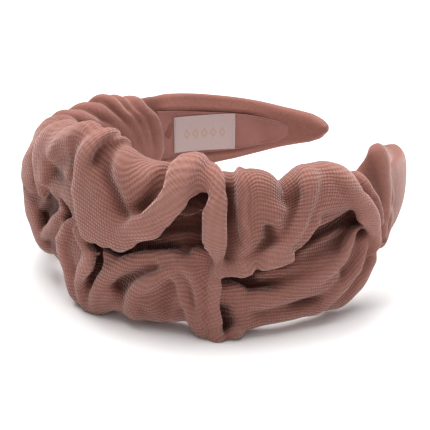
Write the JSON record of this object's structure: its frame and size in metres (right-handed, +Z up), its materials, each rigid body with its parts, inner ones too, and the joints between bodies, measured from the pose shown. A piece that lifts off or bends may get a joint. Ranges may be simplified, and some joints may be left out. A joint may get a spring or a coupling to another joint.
{
  "type": "knotted headband",
  "caption": "Wide ruched velour headband over a padded open hoop, lying on its lower edge, with a lined inner face and a small woven label.",
  "frame": {"origin": "centre of the bounding box's bottom face, on the table the band lies on", "axes": "+Z up, along the band's width; the hoop lies level, its crown towards -Y and its tips towards +Y; the arm with the label is on the -X side"},
  "size_m": [0.157, 0.152, 0.0658],
  "materials": {
    "velour": "ribbed velour, dusty rose",
    "lining": "smooth velour, dusty rose",
    "label": "woven satin ribbon with a row of small lozenges",
    "thread": "sewing thread",
    "foam": "soft foam strip",
    "hoop_plastic": "moulded"
  },
  "bodies": {
    "left_half": {"hoop_left": "hoop_plastic", "foam_pad_left": "foam", "ruched_cover_left": "velour", "gather_thread_upper_left": "thread", "gather_thread_lower_left": "thread", "inner_lining_left": "lining", "lining_seam_upper_left": "thread", "lining_seam_lower_left": "thread", "woven_label": "label", "label_stitch_front": "thread", "label_stitch_rear": "thread", "tack_stitch_4": "thread"},
    "right_half": {"hoop_right": "hoop_plastic", "foam_pad_right": "foam", "ruched_cover_right": "velour", "gather_thread_upper_right": "thread", "gather_thread_lower_right": "thread", "inner_lining_right": "lining", "lining_seam_upper_right": "thread", "lining_seam_lower_right": "thread", "tack_stitch_1": "thread", "tack_stitch_2": "thread", "tack_stitch_3": "thread"}
  },
  "joints": [
    {"name": "arm_spread", "type": "hinge", "parent": "left_half", "child": "right_half", "pos_m": [-0.00013, -0.0765, 0.034], "axis": [0, 0, -1], "range_deg": [0, 18], "stiffness_Nm_per_rad": 1}
  ]
}
